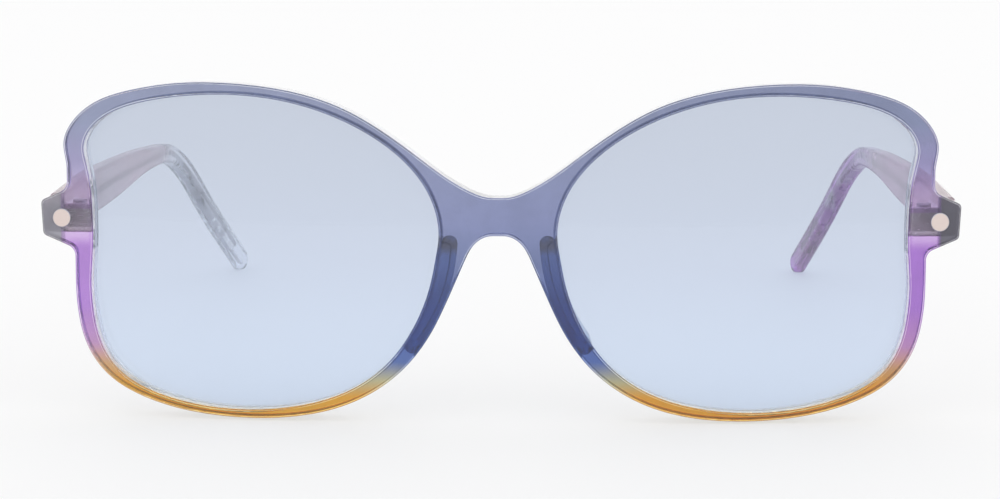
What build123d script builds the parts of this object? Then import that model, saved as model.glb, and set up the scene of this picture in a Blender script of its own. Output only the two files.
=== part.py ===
"""Butterfly sunglasses: a bent acetate front, two lenses and two folding temples.

Millimetres, +Z up.  The front faces -Y and the temples run back along +Y.
Left and right are the wearer's: left is the +X side.
The left-hand pieces are modelled and the right-hand ones are their mirror images.
"""
from build123d import *
import os
from math import asin, cos, degrees, radians, sin, sqrt, tan

# Front: overall shape
lens_width = 57.0
lens_height = 50.5
bridge_gap = 19.2
end_piece_reach = 7.0
lean_angle = 3.5
wrap_radius = 650.0
rim_depth = 5.2
edge_round = 0.4

# Rims: each row is a point of the lens opening and how thick the rim is there,
# from the nose over the brow to the temple side and back under the cheek
bottom_rim = 1.35
rim_width = 1.4
opening_shares = (
    (0.001, 0.520, 3.55),
    (0.004, 0.625, 2.90),
    (0.032, 0.705, 2.50),
    (0.084, 0.783, 1.50),
    (0.178, 0.868, 1.19),
    (0.282, 0.929, 1.32),
    (0.420, 0.978, 1.30),
    (0.566, 0.999, 1.33),
    (0.736, 0.992, 1.58),
    (0.840, 0.972, 1.66),
    (0.935, 0.931, 1.92),
    (0.979, 0.888, 2.12),
    (0.999, 0.835, 2.30),
    (0.990, 0.770, 2.34),
    (0.976, 0.620, 2.50),
    (0.977, 0.500, 2.10),
    (0.982, 0.409, 1.78),
    (0.977, 0.307, 1.74),
    (0.955, 0.206, 1.60),
    (0.904, 0.120, 1.27),
    (0.828, 0.064, 1.04),
    (0.742, 0.030, 0.98),
    (0.579, 0.002, 0.96),
    (0.422, 0.010, 1.16),
    (0.268, 0.057, 1.43),
    (0.133, 0.164, 1.78),
    (0.062, 0.282, 2.10),
    (0.022, 0.400, 2.60),
)
brow_rows = slice(3, 14)
cheek_rows = slice(16, 27)

# Bridge: its dipped top edge and the arch over the nose
bridge_share = 0.682
bridge_thickness = 6.1
bridge_flat = 0.8
bridge_top_shares = ((0.14, 0.006), (0.29, 0.031), (0.45, 0.068))
arch_shares = ((0.418, 0.651), (0.344, 0.760), (0.272, 0.869), (0.203, 0.948), (0.114, 0.991))

# End pieces: six-sided lugs that carry the hinges
lug_share = 0.606
lug_height = 5.5
lug_shoulder = 1.9
lug_toe = 2.2
lug_taper = 0.3
lug_corner_round = 0.9
lug_root_round = 1.8

# Blocks cemented behind the end pieces, where the hinges are sunk
block_width = 7.6
block_depth = 1.8
block_wall = 0.5
block_round = 0.7

# Lenses: flat-base sun lenses with a tongue round the edge
lens_radius = 265.0
lens_thickness = 1.9
lens_set_back = 0.8
tongue_height = 0.55
tongue_thickness = 0.8
lens_clearance = 0.03

# Nose pads: curved acetate ridges cemented behind the nasal rims.
# Their top, middle and bottom are shares of the opening's width and height
pad_shares = ((-0.033, 0.534), (-0.005, 0.369), (0.074, 0.199))
pad_width = 2.7
pad_crest_width = 1.6
pad_depth = 4.6
pad_splay = 0.7
pad_shortening_share = 0.16
pad_round = 0.55
pad_root = 0.5

# Decorative rivets pressed into the end pieces
rivet_inset = 3.5
rivet_radius = 1.48
rivet_stand = 0.3
rivet_shank_radius = 0.65
rivet_shank = 2.2
rivet_edge = 0.08

# Temples: slim boards with a bent ear piece
temple_height = 5.4
temple_thickness = 3.0
tip_thickness = 2.5
temple_splay = 3.0
temple_inset = 0.05
temple_rise = 0.05
axis_standoff = 2.35
temple_reach = 134.2
butt_gap = 0.2
shoulder_reach = 74.0
shoulder_drop = 0.2
bend_reach = 98.6
bend_drop = 1.6
shoulder_radius = 120.0
bend_radius = 24.0
ear_splay = 13.8
ear_turn_radius = 45.0
temple_round = 0.75
height_shares = (
    (0.00, 1.00),
    (0.10, 1.18),
    (0.22, 1.34),
    (0.36, 1.16),
    (0.48, 0.86),
    (0.58, 0.70),
    (0.68, 0.67),
    (0.82, 0.69),
    (1.00, 0.76),
)
core_size = 1.2
core_end_share = 0.95

# Five-barrel hinges
barrel_radius = 1.4
barrel_height = 0.72
barrel_count = 5
barrel_gap = 0.04
hinge_drop = 0.35
swing_gap = 0.15
leaf_thickness = 0.9
leaf_cover = 0.08
front_leaf_inner = 2.3
front_leaf_outer = 2.0
front_web = 0.8
temple_leaf_start = 0.55
temple_leaf_length = 8.6
screw_radius = 0.55
screw_clearance = 0.04
screw_head_radius = 1.15
screw_head_height = 0.5
screw_slot = 0.28
screw_end = 0.25

# Spare length for cutting tools
overrun = 4.0

# Places that follow from those sizes
front_half_width = bridge_gap / 2 + lens_width + end_piece_reach
bridge_top = bottom_rim + bridge_share * lens_height
arch_top = bridge_top - bridge_thickness
lug_middle = bottom_rim + lug_share * lens_height
lug_top = lug_middle + lug_height / 2
lug_bottom = lug_middle - lug_height / 2
hinge_height = lug_middle - hinge_drop
temple_outer_x = front_half_width - temple_inset
temple_mid_height = lug_middle + temple_rise
shoulder_point = (shoulder_reach, temple_mid_height - shoulder_drop)
bend_point = (bend_reach, temple_mid_height - bend_drop)

# Planes: x runs to the wearer's left and y up the leaning face, z points out of it
lens_x = (bridge_gap + lens_width) / 2
rim_back = rim_depth + wrap_radius - sqrt(wrap_radius ** 2 - lens_x ** 2)
lift = rim_back * sin(radians(lean_angle))
face_up = Vector(0, sin(radians(lean_angle)), cos(radians(lean_angle)))
face_out = Vector(0, -cos(radians(lean_angle)), sin(radians(lean_angle)))
front_plane = Plane(origin=(0, 0, lift), x_dir=(1, 0, 0), z_dir=face_out)
section_plane = Plane(origin=(0, 0, lift), x_dir=(1, 0, 0), z_dir=face_up)
tall = lens_height + lug_top


def sag(x, depth=0):
    """How far a layer of the bent front lies behind the flat face at x."""
    return wrap_radius - sqrt((wrap_radius - depth) ** 2 - x ** 2)


def wrap_angle(x):
    """How far the bent front has turned at x, in degrees."""
    return degrees(asin(x / wrap_radius))


def tangent_plane(x, height, rise=0.0):
    """A plane touching the bent face, or raised off it by rise, its z out of the face."""
    turn = radians(wrap_angle(x))
    sideways = Vector(1, 0, 0)
    place = front_plane.from_local_coords(Vector(x, height, -sag(x)))
    across = sideways * cos(turn) - face_out * sin(turn)
    outwards = sideways * sin(turn) + face_out * cos(turn)
    return Plane(origin=place + outwards * rise, x_dir=across, z_dir=outwards)


def bent_layer(near, far):
    """Everything between two depths behind the bent face."""
    reach = front_half_width + overrun
    with BuildPart() as layer:
        with BuildSketch(section_plane):
            with BuildLine():
                near_arc = ThreePointArc((-reach, sag(reach, near)), (0, near), (reach, sag(reach, near)))
                far_arc = ThreePointArc((-reach, sag(reach, far)), (0, far), (reach, sag(reach, far)))
                Line(near_arc @ 0, far_arc @ 0)
                Line(near_arc @ 1, far_arc @ 1)
            make_face()
        extrude(amount=tall, both=True)
    return layer.part


def opening_point(row, grow=0.0):
    """A point of the lens opening, moved outwards by grow."""
    count = len(opening_shares)
    here, after = opening_shares[row % count], opening_shares[(row + 1) % count]
    before = opening_shares[(row - 1) % count]
    along = Vector((after[0] - before[0]) * lens_width, (after[1] - before[1]) * lens_height).normalized()
    outwards = Vector(-along.Y, along.X)
    place = Vector(bridge_gap / 2 + here[0] * lens_width, bottom_rim + here[1] * lens_height)
    return place + outwards * grow


def rim_point(row):
    """The outer edge of the rim beside a point of the lens opening."""
    return opening_point(row, opening_shares[row][2] * rim_width)


def opening_outline(grow):
    """The lens opening as a face, drawn about the lens centre line."""
    points = [opening_point(row, grow) - Vector(lens_x, 0) for row in range(len(opening_shares))]
    with BuildSketch() as outline:
        with BuildLine():
            Spline(*points, periodic=True)
        make_face()
    return outline.sketch


def front_outline():
    """The front's outer edge as a face."""
    rows = range(len(opening_shares))
    brow = [rim_point(row) for row in rows[brow_rows]]
    cheek = [rim_point(row) for row in rows[cheek_rows]]
    dip = [Vector(x * bridge_gap, bridge_top + z * lens_height) for x, z in bridge_top_shares]
    arch = [Vector(x * bridge_gap, z * arch_top) for x, z in arch_shares]
    with BuildSketch() as outline:
        with BuildLine():
            top_flat = Line((0, bridge_top), (bridge_flat, bridge_top))
            arch_flat = Line((0, arch_top), (bridge_flat, arch_top))
            top_ends = ((1, 0), (0, -1))
            top = Spline(top_flat @ 1, *dip, *brow, tangents=top_ends, tangent_scalars=(1, 1))
            under_ends = ((0, -1), (-1, 0))
            under = Spline(*cheek, *arch, arch_flat @ 1, tangents=under_ends, tangent_scalars=(1, 1))
            FilletPolyline(
                top @ 1,
                ((top @ 1).X, lug_top + lug_shoulder),
                (front_half_width, lug_top),
                (front_half_width - lug_taper, lug_bottom),
                ((under @ 0).X, lug_bottom - lug_toe),
                under @ 0,
                radius=(lug_root_round, lug_corner_round, lug_corner_round, lug_root_round),
            )
            mirror(about=Plane.YZ)
        make_face()
    return outline.sketch


def lens_layer(grow, near, thickness):
    """A slice of the lens: the opening's outline, grown, cut from a spherical shell."""
    middle = bottom_rim + lens_height / 2
    centre = lens_plane.from_local_coords(Vector(0, middle, -lens_set_back - lens_radius))
    with BuildPart() as layer:
        with BuildSketch(lens_plane.offset(-cut_depth)):
            add(opening_outline(grow))
        extrude(amount=cut_depth + overrun)
        with Locations(centre):
            Sphere(lens_radius - near, mode=Mode.INTERSECT)
            Sphere(lens_radius - near - thickness, mode=Mode.SUBTRACT)
    return layer.part


lens_plane = tangent_plane(lens_x, 0)
cut_depth = rim_depth + sag(front_half_width) + overrun

# Lens: a full-thickness disc with a thinner tongue round its edge
tongue_near = (lens_thickness - tongue_thickness) / 2
with BuildPart() as lens:
    add(lens_layer(-lens_clearance, 0, lens_thickness))
    add(lens_layer(tongue_height, tongue_near, tongue_thickness))
groove = lens_layer(
    tongue_height + lens_clearance,
    tongue_near - lens_clearance,
    tongue_thickness + 2 * lens_clearance,
)

# Rivet: a flat disc and the shank that holds it in the end piece
rivet_plane = tangent_plane(front_half_width - rivet_inset, lug_middle)
with BuildPart() as rivet:
    with BuildSketch(rivet_plane):
        Circle(rivet_radius)
    extrude(amount=rivet_stand)
    chamfer(rivet.faces().sort_by(Axis.Y)[0].edges(), length=rivet_edge)
    with BuildSketch(rivet_plane):
        Circle(rivet_shank_radius)
    extrude(amount=-rivet_shank)

# Front frame: the bent sheet with its openings, rounded edges, lens grooves and rivet holes
with BuildPart() as front_frame:
    with BuildSketch(front_plane.offset(-cut_depth)):
        add(front_outline(), clean=False)
    extrude(amount=cut_depth + overrun, clean=False)
    add(bent_layer(0, rim_depth), mode=Mode.INTERSECT, clean=False)
    with BuildSketch(lens_plane.offset(-cut_depth)):
        add(opening_outline(0))
    through = extrude(amount=cut_depth + overrun, mode=Mode.SUBTRACT)
    mirror(through, about=Plane.YZ, mode=Mode.SUBTRACT)
    broad_faces = front_frame.faces().sort_by(SortBy.AREA)[-2:]
    fillet(broad_faces.edges(), radius=min(edge_round, rim_width / 3))
    for cutter in (groove, rivet.part):
        add(cutter, mode=Mode.SUBTRACT)
        mirror(cutter, about=Plane.YZ, mode=Mode.SUBTRACT)

# Nose pad: a curved ridge that leans away from the nose towards its crest
def pad_slice(depth, splay, shortening, width):
    """The pad's outline at one depth, as a face drawn on the front's own plane."""
    corner = Vector(bridge_gap / 2 + splay, bottom_rim)
    top, middle, bottom = [corner + Vector(x * lens_width, z * lens_height) for x, z in pad_shares]
    with BuildSketch(front_plane.offset(-depth)) as outline:
        with BuildLine(mode=Mode.PRIVATE):
            spine = ThreePointArc(
                top + (middle - top) * shortening, middle, bottom + (middle - bottom) * shortening
            )
        SlotArc(spine, width)
    return outline.sketch


pad_back = rim_depth + pad_depth
with BuildPart() as nose_pad:
    add(pad_slice(rim_depth - pad_root, 0, 0, pad_width))
    add(pad_slice(pad_back, pad_splay, pad_shortening_share, pad_crest_width))
    loft()
    fillet(nose_pad.faces().sort_by(Axis.Y)[-1].edges(), radius=pad_round)
    add(bent_layer(-overrun, rim_depth), mode=Mode.SUBTRACT)

# Hinge axis: upright, just behind the end block and inside the temple's inner face
block_back = rim_depth + block_depth
hinge_x = temple_outer_x - temple_thickness - axis_standoff
hinge_back = front_plane.from_local_coords(Vector(hinge_x, hinge_height, -sag(hinge_x, block_back))).Y
hinge_y = hinge_back + barrel_radius + swing_gap
stack_height = barrel_count * barrel_height
hinge_foot = Vector(hinge_x, hinge_y, hinge_height - stack_height / 2)


def hinge_plane(turn, rise=0.0):
    """A level plane at the foot of the hinge stack, turned about the hinge axis."""
    along = Vector(cos(radians(turn)), sin(radians(turn)))
    return Plane(origin=hinge_foot + Vector(0, 0, rise), x_dir=along, z_dir=(0, 0, 1))


def leaf_area(low, high):
    """The area between two corners of a hinge leaf as seen from above."""
    with BuildSketch() as area:
        with Locations(((low[0] + high[0]) / 2, (low[1] + high[1]) / 2)):
            Rectangle(high[0] - low[0], high[1] - low[1])
    return area.sketch


def barrel(turn, number, web, bore):
    """One hinge barrel and the web that ties it to its leaf, turned about the hinge axis."""
    with BuildPart() as knuckle:
        with BuildSketch(hinge_plane(turn, number * barrel_height + barrel_gap / 2)):
            Circle(barrel_radius)
            add(web)
            Circle(bore, mode=Mode.SUBTRACT)
        extrude(amount=barrel_height - barrel_gap)
    return knuckle.part


# Front hinge leaf: a plate sunk in the end block, with the odd barrels; the lowest is threaded
front_turn = wrap_angle(hinge_x)
plate_face = -(barrel_radius + swing_gap)
front_plate = leaf_area((-front_leaf_inner, plate_face - leaf_thickness), (front_leaf_outer, plate_face))
front_strap = leaf_area((-barrel_radius, plate_face), (front_web, 0))
with BuildPart() as front_leaf:
    with BuildSketch(hinge_plane(front_turn)):
        add(front_plate)
    extrude(amount=stack_height)
    add(barrel(front_turn, 0, front_strap, screw_radius))
    for number in range(2, barrel_count, 2):
        add(barrel(front_turn, number, front_strap, screw_radius + screw_clearance))

# Hinge screw: slotted head on top of the stack, end just below it
with BuildPart() as hinge_screw:
    with BuildSketch(hinge_plane(0, -screw_end)):
        Circle(screw_radius)
    extrude(amount=stack_height + screw_end)
    with BuildSketch(hinge_plane(0, stack_height)):
        Circle(screw_head_radius)
    extrude(amount=screw_head_height)
    with BuildSketch(hinge_plane(temple_splay, stack_height + screw_head_height - screw_slot)):
        Rectangle(screw_head_radius * 2 + overrun, screw_slot)
    extrude(amount=screw_slot, mode=Mode.SUBTRACT)

# End block: cemented behind the end piece, cut back where the front hinge leaf is sunk
block_outer_x = front_half_width - edge_round
with BuildPart() as end_block:
    with BuildSketch(front_plane.offset(-cut_depth)):
        with Locations((block_outer_x - block_width / 2, hinge_height)):
            RectangleRounded(block_width, stack_height + 2 * block_wall, block_round)
    extrude(amount=cut_depth + overrun)
    add(bent_layer(rim_depth, block_back), mode=Mode.INTERSECT)
    back_face = end_block.faces().sort_by(SortBy.AREA)[-2:].sort_by(Axis.Y)[-1]
    fillet(back_face.edges(), radius=edge_round)
    add(front_leaf.part, mode=Mode.SUBTRACT)

# Temple outlines
temple_ahead = Vector(-sin(radians(temple_splay)), cos(radians(temple_splay)))
temple_start = rim_depth
tip_radius = temple_height * height_shares[-1][1] / 2
with BuildLine() as temple_line:
    FilletPolyline(
        (temple_start, temple_mid_height),
        shoulder_point,
        bend_point,
        (temple_reach, tip_radius),
        radius=(shoulder_radius, bend_radius),
    )
temple_wire = temple_line.wire()


def temple_side(sizes):
    """The temple seen from the side: heights set out evenly about its middle line."""
    upper = []
    lower = []
    for share, height in sizes:
        middle = temple_wire @ share
        ahead = temple_wire % share
        half = Vector(-ahead.Y, ahead.X) * (height / 2)
        upper.append(middle + half)
        lower.append(middle - half)
    end_share, end_height = sizes[-1]
    ends = (temple_wire % 0, temple_wire % end_share)
    end = temple_wire @ end_share + ends[1] * (end_height / 2)
    with BuildSketch() as side:
        with BuildLine():
            Spline(*upper, tangents=ends)
            ThreePointArc(upper[-1], end, lower[-1])
            Spline(*lower, tangents=ends)
            Line(upper[0], lower[0])
        make_face()
    return side.sketch


def temple_plan(inset, thickness, end_thickness):
    """The temple seen from above: straight, then turning inwards at the ear."""
    ear_ahead = Vector(-sin(radians(ear_splay)), cos(radians(ear_splay)))
    outer_start = Vector(temple_outer_x - inset, hinge_y) + temple_ahead * (temple_start - hinge_y)
    outer_bend = outer_start + temple_ahead * (bend_point[0] - temple_start)
    outer_end = outer_bend + ear_ahead * (temple_reach + overrun - bend_point[0])
    inwards = Vector(-temple_ahead.Y, temple_ahead.X)
    ear_inwards = Vector(-ear_ahead.Y, ear_ahead.X)
    inner_start = outer_start + inwards * thickness
    inner_bend = outer_bend + (inwards + ear_inwards).normalized() * thickness
    inner_end = outer_end + ear_inwards * end_thickness
    with BuildSketch() as plan:
        with BuildLine():
            FilletPolyline(outer_start, outer_bend, outer_end, radius=ear_turn_radius)
            FilletPolyline(inner_start, inner_bend, inner_end, radius=ear_turn_radius)
            Line(outer_start, inner_start)
            Line(outer_end, inner_end)
        make_face()
    return plan.sketch


def board(side, plan):
    """A solid with one outline from the side and another from above."""
    with BuildPart() as body:
        with BuildSketch(Plane.YZ):
            add(side)
        extrude(amount=front_half_width + overrun)
        with BuildSketch(Plane.XY.offset(-overrun)):
            add(plan)
        extrude(amount=tall, mode=Mode.INTERSECT)
    return body.part


# Temple core: the stiffening wire inside the acetate
core_inset = (temple_thickness - core_size) / 2
core_shares = [share * core_end_share for share, height in height_shares]
butt_cut = bent_layer(-overrun, block_back + butt_gap)
with BuildPart() as core_wire:
    add(board(
        temple_side([(share, core_size) for share in core_shares]),
        temple_plan(core_inset, core_size, core_size),
    ))
    add(butt_cut, mode=Mode.SUBTRACT)

# Temple hinge leaf: a plate sunk in the temple's inner face, with the even barrels
leaf_x = (temple_outer_x - hinge_x) * temple_ahead.Y - temple_thickness
leaf_depth = core_inset - leaf_cover
leaf_end = temple_leaf_length - temple_leaf_start
temple_plate = leaf_area((leaf_x, -temple_leaf_start), (leaf_x + leaf_depth, leaf_end))
temple_strap = leaf_area((0, -temple_leaf_start), (leaf_x, barrel_radius))
with BuildPart() as temple_leaf:
    with BuildSketch(hinge_plane(temple_splay)):
        add(temple_plate)
    extrude(amount=stack_height)
    for number in range(1, barrel_count, 2):
        add(barrel(temple_splay, number, temple_strap, screw_radius + screw_clearance))

# Temple: the acetate board, with its butt cut to the end block and seats for core and leaf
with BuildPart() as temple:
    add(board(
        temple_side([(share, temple_height * height) for share, height in height_shares]),
        temple_plan(0, temple_thickness, tip_thickness),
    ))
    long_edges = temple.edges().filter_by(lambda edge: edge.length > temple_thickness + overrun)
    fillet(long_edges, radius=temple_round)
    add(butt_cut, mode=Mode.SUBTRACT)
    add(core_wire.part, mode=Mode.SUBTRACT)
    add(temple_leaf.part, mode=Mode.SUBTRACT)

# Stand the glasses on Z = 0 with the origin under the middle of the whole
front_box = front_frame.part.bounding_box()
temple_box = temple.part.bounding_box()
ground = min(front_box.min.Z, temple_box.min.Z)
stand = Location((0, -(front_box.min.Y + temple_box.max.Y) / 2, -ground))

with BuildPart() as front:
    add(front_frame.part.moved(stand))

with BuildPart() as lens_left:
    add(lens.part.moved(stand))
with BuildPart() as lens_right:
    mirror(lens_left.part, about=Plane.YZ)

with BuildPart() as nose_pad_left:
    add(nose_pad.part.moved(stand))
with BuildPart() as nose_pad_right:
    mirror(nose_pad_left.part, about=Plane.YZ)

with BuildPart() as end_block_left:
    add(end_block.part.moved(stand))
with BuildPart() as end_block_right:
    mirror(end_block_left.part, about=Plane.YZ)

with BuildPart() as front_rivet_left:
    add(rivet.part.moved(stand))
with BuildPart() as front_rivet_right:
    mirror(front_rivet_left.part, about=Plane.YZ)

with BuildPart() as front_hinge_leaf_left:
    add(front_leaf.part.moved(stand))
with BuildPart() as front_hinge_leaf_right:
    mirror(front_hinge_leaf_left.part, about=Plane.YZ)

with BuildPart() as temple_hinge_leaf_left:
    add(temple_leaf.part.moved(stand))
with BuildPart() as temple_hinge_leaf_right:
    mirror(temple_hinge_leaf_left.part, about=Plane.YZ)

with BuildPart() as hinge_screw_left:
    add(hinge_screw.part.moved(stand))
with BuildPart() as hinge_screw_right:
    mirror(hinge_screw_left.part, about=Plane.YZ)

with BuildPart() as temple_left:
    add(temple.part.moved(stand))
with BuildPart() as temple_right:
    mirror(temple_left.part, about=Plane.YZ)

with BuildPart() as core_wire_left:
    add(core_wire.part.moved(stand))
with BuildPart() as core_wire_right:
    mirror(core_wire_left.part, about=Plane.YZ)

os.makedirs("parts", exist_ok=True)

front.part.label = "front"
export_step(front.part, "parts/front.step")
lens_left.part.label = "lens_left"
export_step(lens_left.part, "parts/lens_left.step")
lens_right.part.label = "lens_right"
export_step(lens_right.part, "parts/lens_right.step")
nose_pad_left.part.label = "nose_pad_left"
export_step(nose_pad_left.part, "parts/nose_pad_left.step")
nose_pad_right.part.label = "nose_pad_right"
export_step(nose_pad_right.part, "parts/nose_pad_right.step")
end_block_left.part.label = "end_block_left"
export_step(end_block_left.part, "parts/end_block_left.step")
end_block_right.part.label = "end_block_right"
export_step(end_block_right.part, "parts/end_block_right.step")
front_rivet_left.part.label = "front_rivet_left"
export_step(front_rivet_left.part, "parts/front_rivet_left.step")
front_rivet_right.part.label = "front_rivet_right"
export_step(front_rivet_right.part, "parts/front_rivet_right.step")
front_hinge_leaf_left.part.label = "front_hinge_leaf_left"
export_step(front_hinge_leaf_left.part, "parts/front_hinge_leaf_left.step")
front_hinge_leaf_right.part.label = "front_hinge_leaf_right"
export_step(front_hinge_leaf_right.part, "parts/front_hinge_leaf_right.step")
temple_hinge_leaf_left.part.label = "temple_hinge_leaf_left"
export_step(temple_hinge_leaf_left.part, "parts/temple_hinge_leaf_left.step")
temple_hinge_leaf_right.part.label = "temple_hinge_leaf_right"
export_step(temple_hinge_leaf_right.part, "parts/temple_hinge_leaf_right.step")
hinge_screw_left.part.label = "hinge_screw_left"
export_step(hinge_screw_left.part, "parts/hinge_screw_left.step")
hinge_screw_right.part.label = "hinge_screw_right"
export_step(hinge_screw_right.part, "parts/hinge_screw_right.step")
temple_left.part.label = "temple_left"
export_step(temple_left.part, "parts/temple_left.step")
temple_right.part.label = "temple_right"
export_step(temple_right.part, "parts/temple_right.step")
core_wire_left.part.label = "core_wire_left"
export_step(core_wire_left.part, "parts/core_wire_left.step")
core_wire_right.part.label = "core_wire_right"
export_step(core_wire_right.part, "parts/core_wire_right.step")

pivot = stand * Location(hinge_foot)
print("hinge axis foot", [round(value, 4) for value in pivot.position])
print("hinge stack height", stack_height)
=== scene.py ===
"""Butterfly sunglasses in a white studio: materials, camera and light over the CAD frame. Metres, +Z up."""
from math import cos, radians, sin, tan
import bpy
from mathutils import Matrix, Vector


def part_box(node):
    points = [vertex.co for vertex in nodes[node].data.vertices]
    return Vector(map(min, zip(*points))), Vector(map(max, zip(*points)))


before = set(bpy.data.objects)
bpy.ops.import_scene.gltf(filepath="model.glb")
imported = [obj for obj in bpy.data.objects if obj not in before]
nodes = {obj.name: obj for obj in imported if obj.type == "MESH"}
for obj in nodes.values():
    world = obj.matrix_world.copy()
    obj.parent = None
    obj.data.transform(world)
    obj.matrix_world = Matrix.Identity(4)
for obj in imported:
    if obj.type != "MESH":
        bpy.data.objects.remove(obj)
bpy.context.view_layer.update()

# Camera, fitted to the photograph
IMAGE_WIDTH = 1000
FOCAL_PIXELS = 2536.0
SENSOR_WIDTH_MM = 36.0
CAMERA_DISTANCE = 0.400
CAMERA_AZIMUTH = 1.8
CAMERA_ELEVATION = 10.05
CAMERA_TARGET = (0.0004, -0.06829, 0.02824)

# Studio: each softbox is its name, place, target, width, height and power
FLOOR_HALF = 4.0
FLOOR_SHADE = (0.31, 0.31, 0.312, 1.0)
FLOOR_GLOW = 0.565
WHITE = (1.0, 1.0, 1.0, 1.0)
TENT_DIM = 0.82
TENT_BRIGHT = 1.0
TENT_RISE = (-0.15, 0.6)
TENT_BACK = (-0.7, 0.4)
SOFTBOXES = (
    ("overhead", (0.0, 0.0, 1.5), (0.0, 0.0, 0.0), 2.4, 2.0, 4.4),
    ("side_left", (0.9, -0.5, 0.5), (0.0, -0.03, 0.03), 0.5, 0.7, 0.8),
    ("side_right", (-0.9, -0.5, 0.5), (0.0, -0.03, 0.03), 0.5, 0.7, 0.8),
)

# The bent sheet of the front, how strongly its layers are dyed, and the painted highlight and dark line on
# its edges
LEAN = radians(3.5)
WRAP_RADIUS = 0.650
FACE_SET_BACK = 0.0006
DYED_LAYER = (0.0008, 0.0014)
DYE_STRENGTH = 1.86
BACK_STRENGTH = 0.12
EDGE_HIGHLIGHT = 0.15
OUTLINE_SHADE = 2.0
CLEARNESS = 0.94
LUG_CLOUDING = 0.42

# Where finishes change: distances to either side, heights, and places from front to back
RAMP_TOP = 0.050
NOSE_TO_TEMPLE = (0.030, 0.056)
RIGHT_TO_LEFT = (-0.07, 0.07)
LUG_EDGE = (0.0699, 0.0705)
LUG_TOP = (0.0364, 0.0358)
# Where the dye is greyed in front of the hinge leaf and made paler round its root: painted shading of the
# hinge
LEAF_SHADING_EDGE = (0.0650, 0.0656)
LEAF_SHADING_FADE = 0.0003
ROOT_SHADING_EDGE = (0.0648, 0.0660)
ROOT_SHADING_FOOT = (0.0272, 0.0294)
ROOT_SHADING_TOP = (0.0420, 0.0350)
# Where the pads, lenses and temples change
PAD_SMOKING = (0.028, 0.016)
PAD_CEMENT = (0.0261, 0.0270)
LENS_SPAN = (0.002, 0.052)
TEMPLE_SPAN = (-0.056, 0.066)
EAR_PIECE = (0.02, 0.05)
TEMPLE_CLEARING = (-0.02, 0.035)
TEMPLE_HAZE = (-0.01, 0.035)

# How far a skin is drawn in where one piece is cemented to another
CEMENT_LINE = 0.00001


def linear(red, green, blue):
    """An sRGB colour in 11..255 as linear values."""
    return tuple(((value / 255 + 0.055) / 1.055) ** 2.4 for value in (red, green, blue))


# The sheet's dyes, from the brow down
BROW_BLUE = linear(148, 156, 186)
BRIDGE_BLUE = linear(142, 150, 190)
STEEL_BLUE = linear(122, 134, 176)
SLATE_BLUE = linear(98, 114, 172)
DEEP_BLUE = linear(84, 112, 178)
OLIVE = linear(190, 186, 150)
AMBER = linear(222, 164, 46)
LILAC = linear(166, 158, 200)
VIOLET = linear(180, 132, 214)
ORCHID = linear(194, 150, 198)
TAN = linear(206, 164, 120)
SMOKE = linear(182, 181, 190)

# Pads, blocks and temples
SKY = linear(200, 220, 252)
INK = linear(130, 158, 200)
CEMENT = linear(164, 154, 136)
CLEAR = linear(246, 248, 252)
MAUVE = linear(236, 220, 226)
BLUSH = linear(248, 228, 234)
PEWTER = linear(222, 222, 228)
HEATHER = linear(244, 212, 230)
PLUM = linear(194, 126, 212)
DUSK = linear(160, 120, 152)

# Lenses and metals
LENS_TOP = linear(203, 211, 226)
LENS_MIDDLE = linear(209, 219, 237)
LENS_FOOT = linear(216, 229, 248)
ROSE_SILVER = linear(240, 224, 218)
NICKEL_SILVER = linear(236, 233, 236)
STEEL = linear(180, 178, 182)
DRAWN_WIRE = linear(238, 237, 240)

face_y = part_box("front")[0].y - FACE_SET_BACK
rivet_low, rivet_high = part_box("front_rivet_left")
plate_low, plate_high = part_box("front_hinge_leaf_left")


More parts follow.
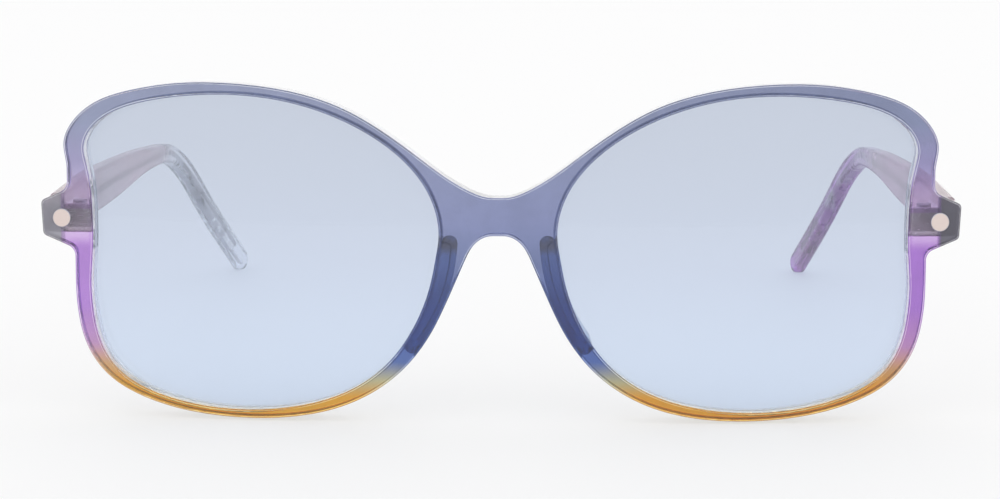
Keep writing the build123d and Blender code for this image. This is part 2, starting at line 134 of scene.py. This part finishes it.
class Shader:
    """A material's node tree, built a node at a time."""

    def __init__(self, name, **sockets):
        self.material = bpy.data.materials.new(name)
        self.material.use_nodes = True
        self.tree = self.material.node_tree
        self.bsdf = self.tree.nodes["Principled BSDF"]
        for socket, value in sockets.items():
            self.bsdf.inputs[socket.replace("_", " ")].default_value = value

    def node(self, kind, inputs=(), **settings):
        """Adds a node; inputs is (socket, value or output) pairs."""
        made = self.tree.nodes.new(kind)
        for key, value in settings.items():
            setattr(made, key, value)
        for socket, value in inputs:
            self.feed(made.inputs[socket], value)
        return made

    def feed(self, socket, value):
        """Links an output to a socket, or sets its value."""
        if isinstance(value, bpy.types.NodeSocket):
            self.tree.links.new(value, socket)
        else:
            socket.default_value = value

    def drive(self, socket, output):
        """Links an output to one of the surface's own sockets."""
        self.feed(self.bsdf.inputs[socket], output)

    def maths(self, operation, first, second=0.0, clamp=False):
        """One Math node's output."""
        made = self.node("ShaderNodeMath", ((0, first), (1, second)), operation=operation, use_clamp=clamp)
        return made.outputs[0]

    def product(self, first, *others):
        """Outputs or numbers multiplied together."""
        for other in others:
            first = self.maths("MULTIPLY", first, other)
        return first

    def total(self, first, *others):
        """Outputs or numbers added up."""
        for other in others:
            first = self.maths("ADD", first, other)
        return first

    def drift(self, value, flow, reach):
        """A value moved either way by a noise value, over a reach."""
        return self.total(value, self.product(self.maths("SUBTRACT", flow, 0.5), reach))

    def ramp(self, factor, stops):
        """A colour ramp over (position, colour) stops."""
        made = self.node("ShaderNodeValToRGB", ((0, factor),))
        band = made.color_ramp
        band.interpolation = "LINEAR"
        while len(band.elements) < len(stops):
            band.elements.new(0.5)
        for element, (position, colour) in zip(band.elements, stops):
            element.position = position
            element.color = (*colour, 1.0)
        return made.outputs[0]

    def mix(self, factor, first, second, blend="MIX"):
        """Two colours mixed; each is an output or red, green and blue."""
        made = self.node("ShaderNodeMix", ((0, factor),), data_type="RGBA", blend_type=blend)
        for socket, colour in ((6, first), (7, second)):
            if isinstance(colour, tuple):
                colour = (*colour, 1.0)
            self.feed(made.inputs[socket], colour)
        return made.outputs[2]

    def span(self, value, low, high, bottom=0.0, top=1.0):
        """A value mapped from low..high to bottom..top, smoothed and clamped."""
        made = self.node(
            "ShaderNodeMapRange",
            (("Value", value), ("From Min", low), ("From Max", high), ("To Min", bottom), ("To Max", top)),
            interpolation_type="SMOOTHSTEP",
        )
        return made.outputs[0]

    def place(self):
        """The point on the piece at rest, and its x, y and z outputs."""
        coordinates = self.node("ShaderNodeTexCoord").outputs["Object"]
        parts = self.node("ShaderNodeSeparateXYZ", ((0, coordinates),))
        return coordinates, *parts.outputs

    def noise(self, vector, scale, detail, roughness, stretch=(1.0, 1.0, 1.0)):
        """A noise value about 0.5."""
        mapping = self.node("ShaderNodeMapping", (("Vector", vector), ("Scale", stretch)))
        made = self.node(
            "ShaderNodeTexNoise",
            (("Vector", mapping.outputs[0]), ("Scale", scale), ("Detail", detail), ("Roughness", roughness)),
        )
        return made.outputs[0]

    def bump(self, strength, distance, height):
        """Relief on the surface from a height output."""
        inputs = (("Strength", strength), ("Distance", distance), ("Height", height))
        self.drive("Normal", self.node("ShaderNodeBump", inputs).outputs[0])

    def polish(self, vector, base, spread, relief, haze=0.0):
        """Hand-polished plastic: uneven gloss and a faint waviness, over any haze within."""
        smears = self.noise(vector, 90.0, 5.0, 0.6)
        hairs = self.noise(vector, 900.0, 2.0, 0.5, (1.0, 1.0, 6.0))
        uneven = self.total(self.product(smears, 0.7), self.product(hairs, 0.3))
        rough = self.span(uneven, 0.3, 0.7, base, base + spread)
        self.drive("Roughness", self.total(rough, haze))
        self.bump(relief, 0.0002, uneven)


def sheet_depth(shader, x, y, z):
    """How far a point lies behind the bent face of the front."""
    flat = shader.maths("SUBTRACT", y, face_y)
    lean = shader.product(z, tan(LEAN))
    bend = shader.product(x, x, 0.5 / WRAP_RADIUS)
    return shader.maths("SUBTRACT", shader.maths("SUBTRACT", flat, lean), bend)


def facing(shader):
    """1 where the sheet faces forwards, falling to 0 on its walls."""
    normal = shader.node("ShaderNodeTexCoord").outputs["Normal"]
    forwards = (0.0, -cos(LEAN), sin(LEAN))
    made = shader.node("ShaderNodeVectorMath", ((0, normal), (1, forwards)), operation="DOT_PRODUCT")
    return shader.maths("ABSOLUTE", made.outputs["Value"])


def gradient(shader, vector, side, z):
    """The sheet's colours: blue over the brow and nose, violet at the sides, amber below."""
    height = shader.drift(z, shader.noise(vector, 60.0, 3.0, 0.55), 0.003)
    level = shader.maths("DIVIDE", height, RAMP_TOP, clamp=True)
    nasal = shader.ramp(
        level,
        ((0.0, AMBER), (0.08, AMBER), (0.13, OLIVE), (0.20, DEEP_BLUE), (0.36, SLATE_BLUE),
         (0.52, STEEL_BLUE), (0.65, BRIDGE_BLUE), (0.95, BROW_BLUE)),
    )
    temporal = shader.ramp(
        level,
        ((0.0, AMBER), (0.11, AMBER), (0.17, TAN), (0.24, ORCHID), (0.36, VIOLET), (0.60, VIOLET),
         (0.80, LILAC), (0.95, BROW_BLUE)),
    )
    return shader.mix(shader.span(side, *NOSE_TO_TEMPLE), nasal, temporal)


def leaf_shading(shader, side, z):
    """Nearly 1 in front of the hinge leaf, where painted shading of the leaf behind greys the dye, and 0
    elsewhere.
    """
    above_foot = shader.span(z, plate_low.z, plate_low.z + LEAF_SHADING_FADE)
    below_top = shader.span(z, plate_high.z + LEAF_SHADING_FADE, plate_high.z, 0.0, 0.85)
    return shader.product(shader.span(side, *LEAF_SHADING_EDGE), above_foot, below_top)


def dye_strength(shader, point, side, lug):
    """How strong the dye looks: full in the front layer and faint behind it; faint dye on the edge walls is
    a painted highlight, the dark line where they turn is painted shade, and the paler dye by the hinge is
    painted shading.
    """
    x, y, z = point
    layer = shader.span(sheet_depth(shader, x, y, z), *DYED_LAYER, DYE_STRENGTH, BACK_STRENGTH)
    front_on = facing(shader)
    # Faint dye on the edge walls: a painted highlight
    edge_highlight = shader.span(front_on, 0.97, 0.92, 1.0, EDGE_HIGHLIGHT)
    # A dark line where the edge turns: painted shade
    outline_shade = shader.product(
        shader.span(front_on, 0.90, 0.82),
        shader.span(front_on, 0.30, 0.50, 0.0, OUTLINE_SHADE),
    )
    uneven = shader.span(x, *RIGHT_TO_LEFT, 0.95, 1.18)
    # Paler dye where the hinge sits: painted shading of the hinge
    root_shading = shader.product(
        shader.span(side, *ROOT_SHADING_EDGE),
        shader.span(z, *ROOT_SHADING_FOOT),
        shader.span(z, *ROOT_SHADING_TOP, 0.0, 0.50),
    )
    body = shader.product(layer, uneven, edge_highlight, shader.maths("SUBTRACT", 1.0, root_shading))
    smoky = shader.product(lug, edge_highlight, shader.span(x, *RIGHT_TO_LEFT, 0.5, 1.6))
    return shader.total(body, smoky, outline_shade)


def front_acetate():
    """Laminated acetate: a dyed layer in front of a paler one; its edge walls are paler still, a painted
    highlight, and ringed by a dark line of painted shade.
    """
    shader = Shader("front_acetate", IOR=1.48, Coat_Weight=0.6, Coat_Roughness=0.02)
    vector, x, y, z = shader.place()
    side = shader.maths("ABSOLUTE", x)
    lug = shader.product(shader.span(side, *LUG_EDGE), shader.span(z, *LUG_TOP))
    # The lug's own grey, and the painted shading in front of the hinge leaf
    lug_grey_and_leaf_shading = shader.maths("MAXIMUM", lug, leaf_shading(shader, side, z))
    colour = shader.mix(lug_grey_and_leaf_shading, gradient(shader, vector, side, z), SMOKE)
    mottle = shader.span(shader.noise(vector, 220.0, 4.0, 0.6), 0.3, 0.7, 0.95, 1.04)
    tone = shader.node("ShaderNodeCombineColor", ((0, mottle), (1, mottle), (2, mottle)))
    colour = shader.mix(1.0, colour, tone.outputs[0], "MULTIPLY")
    strength = dye_strength(shader, (x, y, z), side, lug)
    dyed = shader.node("ShaderNodeGamma", (("Color", colour), ("Gamma", strength)))
    shader.drive("Base Color", dyed.outputs[0])
    clouding = shader.product(lug, LUG_CLOUDING)
    shader.drive("Transmission Weight", shader.maths("SUBTRACT", CLEARNESS, clouding))
    shader.polish(vector, 0.02, 0.06, 0.03)
    return shader.material


def pad_acetate():
    """The sheet's own stock, smokier towards its foot and darkened by cement at its top."""
    shader = Shader("pad_acetate", IOR=1.25, Transmission_Weight=0.90, Coat_Weight=0.5, Coat_Roughness=0.05)
    vector, _, _, z = shader.place()
    grain = shader.noise(vector, 160.0, 4.0, 0.6, (1.0, 1.0, 0.4))
    streaks = shader.span(grain, 0.35, 0.65, 0.0, 0.3)
    low = shader.span(z, *PAD_SMOKING, 0.10, 0.75)
    smoky = shader.mix(shader.total(low, streaks), SKY, INK)
    cemented = shader.span(z, *PAD_CEMENT, 0.0, 0.9)
    shader.drive("Base Color", shader.mix(cemented, smoky, CEMENT))
    shader.polish(vector, 0.10, 0.10, 0.05)
    return shader.material


def block_acetate():
    """Pale mottled stock round the sunk hinge leaf, smoky under the outer end piece."""
    shader = Shader("block_acetate", IOR=1.30, Transmission_Weight=0.6, Coat_Weight=0.4, Coat_Roughness=0.05)
    vector, x, _, _ = shader.place()
    mottle = shader.span(shader.noise(vector, 260.0, 4.0, 0.6), 0.3, 0.7)
    outward = shader.span(shader.maths("ABSOLUTE", x), *LUG_EDGE)
    shader.drive("Base Color", shader.mix(outward, shader.mix(mottle, MAUVE, CLEAR), SMOKE))
    shader.polish(vector, 0.20, 0.14, 0.05)
    return shader.material


def temple_acetate(name, middle, tip, streak):
    """Temple stock: mauve by the hinge, its own colour on the ear piece, with dyed and clear streaks."""
    shader = Shader(name, IOR=1.40, Coat_Weight=0.5, Coat_Roughness=0.03)
    vector, _, y, _ = shader.place()
    along = shader.drift(y, shader.noise(vector, 50.0, 3.0, 0.5, (1.0, 0.3, 1.0)), 0.03)
    colour = shader.ramp(
        shader.span(along, *TEMPLE_SPAN),
        ((0.0, MAUVE), (0.30, middle), (0.60, middle), (0.74, tip), (1.0, tip)),
    )
    veins = shader.noise(vector, 150.0, 3.0, 0.6, (1.0, 0.18, 0.5))
    dyed = shader.product(shader.span(veins, 0.50, 0.62), shader.span(y, *EAR_PIECE, 0.15, 0.8))
    bare = shader.product(shader.span(veins, 0.46, 0.38), shader.span(y, *EAR_PIECE, 0.1, 0.7))
    shader.drive("Base Color", shader.mix(bare, shader.mix(dyed, colour, streak), CLEAR))
    shader.drive("Transmission Weight", shader.span(along, *TEMPLE_CLEARING, 0.72, 0.90))
    shader.polish(vector, 0.06, 0.09, 0.04, haze=shader.span(along, *TEMPLE_HAZE, 0.30, 0.0))
    return shader.material


def lens_tint():
    """Gradient sun lens: cool grey above, pale blue below, with a faint coating."""
    shader = Shader("lens_tint", IOR=1.50, Transmission_Weight=0.96, Coat_Weight=0.2, Coat_Roughness=0.02)
    vector, _, _, z = shader.place()
    height = shader.drift(z, shader.noise(vector, 12.0, 2.0, 0.4), 0.004)
    stops = ((0.0, LENS_FOOT), (0.45, LENS_MIDDLE), (1.0, LENS_TOP))
    shader.drive("Base Color", shader.ramp(shader.span(height, *LENS_SPAN), stops))
    smears = shader.noise(vector, 40.0, 5.0, 0.6)
    shader.drive("Roughness", shader.span(smears, 0.3, 0.8, 0.0, 0.05))
    return shader.material


def metal(name, colour, roughness, gap_shading=None):
    """Satin metal with fine brushing; the last argument, if given, says where a painted gap shadow darkens
    it.
    """
    shader = Shader(name, Metallic=1.0, Anisotropic=0.3)
    vector, x, _, z = shader.place()
    grain = shader.noise(vector, 1500.0, 4.0, 0.6, (1.0, 1.0, 12.0))
    wear = shader.noise(vector, 600.0, 3.0, 0.5)
    darker = tuple(value * 0.8 for value in colour)
    base = shader.mix(grain, darker, colour)
    if gap_shading:
        base = shader.mix(gap_shading(shader, x, z), base, SMOKE)
    shader.drive("Base Color", base)
    uneven = shader.total(shader.product(grain, 0.6), shader.product(wear, 0.4))
    shader.drive("Roughness", shader.span(uneven, 0.3, 0.7, roughness, roughness + 0.14))
    shader.bump(0.15, 0.00003, grain)
    return shader.material


def rivet_gap_shadow(shader, x, z):
    """1 on the rivet's edge, darkened as a painted gap shadow, and 0 on its polished face."""
    middle = (rivet_low + rivet_high) / 2
    radius = (rivet_high.z - rivet_low.z) / 2
    across = shader.maths("SUBTRACT", shader.maths("ABSOLUTE", x), middle.x)
    up = shader.maths("SUBTRACT", z, middle.z)
    squares = shader.total(shader.product(across, across), shader.product(up, up))
    return shader.span(shader.maths("SQRT", squares), radius * 0.90, radius * 0.97)


def both(*stems):
    """The names of the left and right nodes of some stems."""
    return [stem + side for stem in stems for side in ("_left", "_right")]


def dress(names, material, shrink=0.0):
    """Gives CAD nodes one material; shrink draws the skin in where a piece is cemented to another."""
    for name in names:
        node = nodes[name]
        node.data.materials.clear()
        node.data.materials.append(material)
        if shrink:
            skin = node.modifiers.new("cement_line", "DISPLACE")
            skin.mid_level = 0.0
            skin.strength = -shrink


def floor():
    """The plain studio floor: matt paper that glows evenly, so that shadows on it stay soft."""
    mesh = bpy.data.meshes.new("studio_floor")
    near, far = -FLOOR_HALF, FLOOR_HALF
    mesh.from_pydata([(near, near, 0), (far, near, 0), (far, far, 0), (near, far, 0)], [], [(0, 1, 2, 3)])
    plane = bpy.data.objects.new("studio_floor", mesh)
    bpy.context.scene.collection.objects.link(plane)
    shader = Shader("floor_paper", Base_Color=FLOOR_SHADE, Roughness=0.7,
                    Emission_Color=WHITE, Emission_Strength=FLOOR_GLOW)
    mesh.materials.append(shader.material)


def softbox(name, place, target, width, height, power):
    """A soft rectangular light that faces a point."""
    light = bpy.data.lights.new(name, "AREA")
    light.shape = "RECTANGLE"
    light.size = width
    light.size_y = height
    light.energy = power
    lamp = bpy.data.objects.new(name, light)
    lamp.location = place
    lamp.rotation_mode = "QUATERNION"
    lamp.rotation_quaternion = (Vector(target) - Vector(place)).to_track_quat("-Z", "Y")
    bpy.context.scene.collection.objects.link(lamp)


def tent():
    """A white tent round the table, bright above and at the back and dimmer behind the camera."""
    world = bpy.data.worlds.new("studio_white")
    world.use_nodes = True
    tree = world.node_tree
    backdrop = tree.nodes["Background"]
    backdrop.inputs[0].default_value = WHITE
    direction = tree.nodes.new("ShaderNodeTexCoord")
    parts = tree.nodes.new("ShaderNodeSeparateXYZ")
    tree.links.new(direction.outputs["Generated"], parts.inputs[0])
    brighter = tree.nodes.new("ShaderNodeMath")
    brighter.operation = "MAXIMUM"
    for socket, source, (low, high) in zip(brighter.inputs, "ZY", (TENT_RISE, TENT_BACK)):
        band = tree.nodes.new("ShaderNodeMapRange")
        band.interpolation_type = "SMOOTHSTEP"
        band.inputs["From Min"].default_value = low
        band.inputs["From Max"].default_value = high
        tree.links.new(parts.outputs[source], band.inputs["Value"])
        tree.links.new(band.outputs[0], socket)
    glow = tree.nodes.new("ShaderNodeMapRange")
    tree.links.new(brighter.outputs[0], glow.inputs["Value"])
    glow.inputs["To Min"].default_value = TENT_DIM
    glow.inputs["To Max"].default_value = TENT_BRIGHT
    tree.links.new(glow.outputs[0], backdrop.inputs[1])
    bpy.context.scene.world = world


def camera():
    """The photograph's view."""
    data = bpy.data.cameras.new("camera")
    data.sensor_width = SENSOR_WIDTH_MM
    data.lens = FOCAL_PIXELS / IMAGE_WIDTH * SENSOR_WIDTH_MM
    data.clip_start = 0.01
    data.clip_end = 20.0
    turn = radians(CAMERA_AZIMUTH)
    rise = radians(CAMERA_ELEVATION)
    back = Vector((sin(turn) * cos(rise), -cos(turn) * cos(rise), sin(rise)))
    made = bpy.data.objects.new("camera", data)
    made.location = Vector(CAMERA_TARGET) + back * CAMERA_DISTANCE
    made.rotation_mode = "QUATERNION"
    made.rotation_quaternion = (-back).to_track_quat("-Z", "Y")
    bpy.context.scene.collection.objects.link(made)
    bpy.context.scene.camera = made


dress(["front"], front_acetate())
dress(both("lens"), lens_tint())
dress(both("nose_pad"), pad_acetate(), CEMENT_LINE)
dress(both("end_block"), block_acetate(), CEMENT_LINE)
# The rivets' dark edge ring is a painted gap shadow
dress(both("front_rivet"), metal("rivet_metal", ROSE_SILVER, 0.30, rivet_gap_shadow))
dress(both("front_hinge_leaf", "temple_hinge_leaf"), metal("hinge_metal", NICKEL_SILVER, 0.42))
dress(both("hinge_screw"), metal("screw_metal", STEEL, 0.25))
dress(both("core_wire"), metal("core_metal", DRAWN_WIRE, 0.35))
dress(["temple_left"], temple_acetate("temple_acetate_left", HEATHER, PLUM, DUSK))
dress(["temple_right"], temple_acetate("temple_acetate_right", BLUSH, CLEAR, PEWTER))
floor()
tent()
for row in SOFTBOXES:
    softbox(*row)
camera()
bpy.context.scene.view_settings.view_transform = "Standard"
